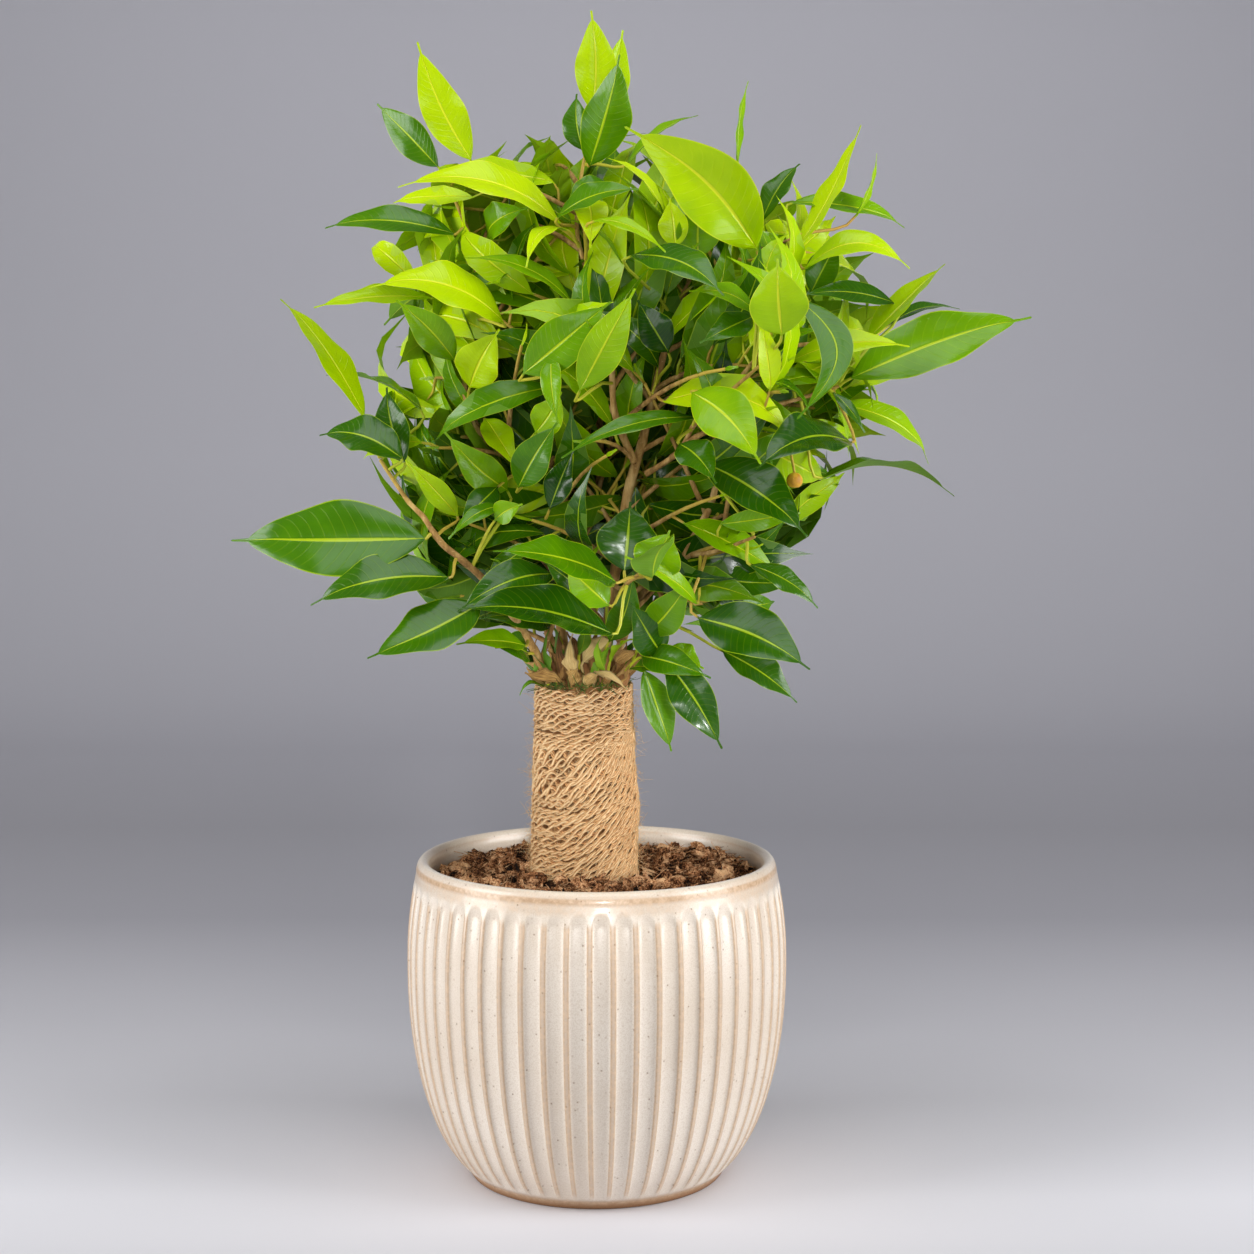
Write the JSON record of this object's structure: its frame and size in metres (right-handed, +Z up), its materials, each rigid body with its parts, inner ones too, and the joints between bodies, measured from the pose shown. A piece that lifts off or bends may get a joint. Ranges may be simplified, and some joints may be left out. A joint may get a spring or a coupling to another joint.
{
  "type": "potted weeping fig",
  "caption": "Small weeping fig with a jute-wrapped trunk and a dense head of glossy pointed leaves, in a fluted cream stoneware pot of soil.",
  "frame": {"origin": "centre of the pot's foot, on the surface that it stands on", "axes": "+Z up along the pot's axis; the plant's front faces -Y"},
  "size_m": [0.404, 0.272, 0.603],
  "materials": {
    "cream_glaze": "satin",
    "peat_soil": "matte",
    "jute": "matte",
    "bark": "matte",
    "leaf": "satin",
    "fig_skin": "satin"
  },
  "bodies": {
    "root": {"pot": "cream_glaze", "potting_soil": "peat_soil", "trunk": "bark", "jute_wrap": "jute", "stem_main": "bark", "stem_right": "bark", "stem_left": "bark", "stem_inner_left": "bark", "stem_back_left": "bark", "stem_back_right": "bark", "stem_back": "bark", "branch_crown": "bark", "branch_mid": "bark", "branch_far_right": "bark", "branch_top_right": "bark", "branch_low_right": "bark", "branch_front": "bark", "leaf_left_1": "leaf", "leaf_left_2": "leaf", "leaf_left_3": "leaf", "leaf_left_4": "leaf", "leaf_left_5": "leaf", "leaf_left_6": "leaf", "leaf_upper_left_1": "leaf", "leaf_upper_left_2": "leaf", "leaf_upper_left_3": "leaf", "leaf_upper_left_4": "leaf", "leaf_upper_left_5": "leaf", "leaf_top_1": "leaf", "leaf_top_2": "leaf", "leaf_top_3": "leaf", "leaf_top_4": "leaf", "leaf_top_5": "leaf", "leaf_top_6": "leaf", "leaf_top_7": "leaf", "leaf_right_1": "leaf", "leaf_right_2": "leaf", "leaf_right_3": "leaf", "leaf_right_4": "leaf", "leaf_right_5": "leaf", "leaf_right_6": "leaf", "leaf_right_7": "leaf", "leaf_right_8": "leaf", "leaf_right_9": "leaf", "leaf_right_10": "leaf", "leaf_right_11": "leaf", "leaf_right_12": "leaf", "leaf_front_1": "leaf", "leaf_front_2": "leaf", "leaf_front_3": "leaf", "leaf_front_4": "leaf", "leaf_front_5": "leaf", "leaf_front_6": "leaf", "leaf_front_7": "leaf", "leaf_front_8": "leaf", "leaf_back_1": "leaf", "leaf_back_2": "leaf", "leaf_back_3": "leaf", "leaf_back_4": "leaf", "fig_fruit": "fig_skin"}
  },
  "joints": []
}
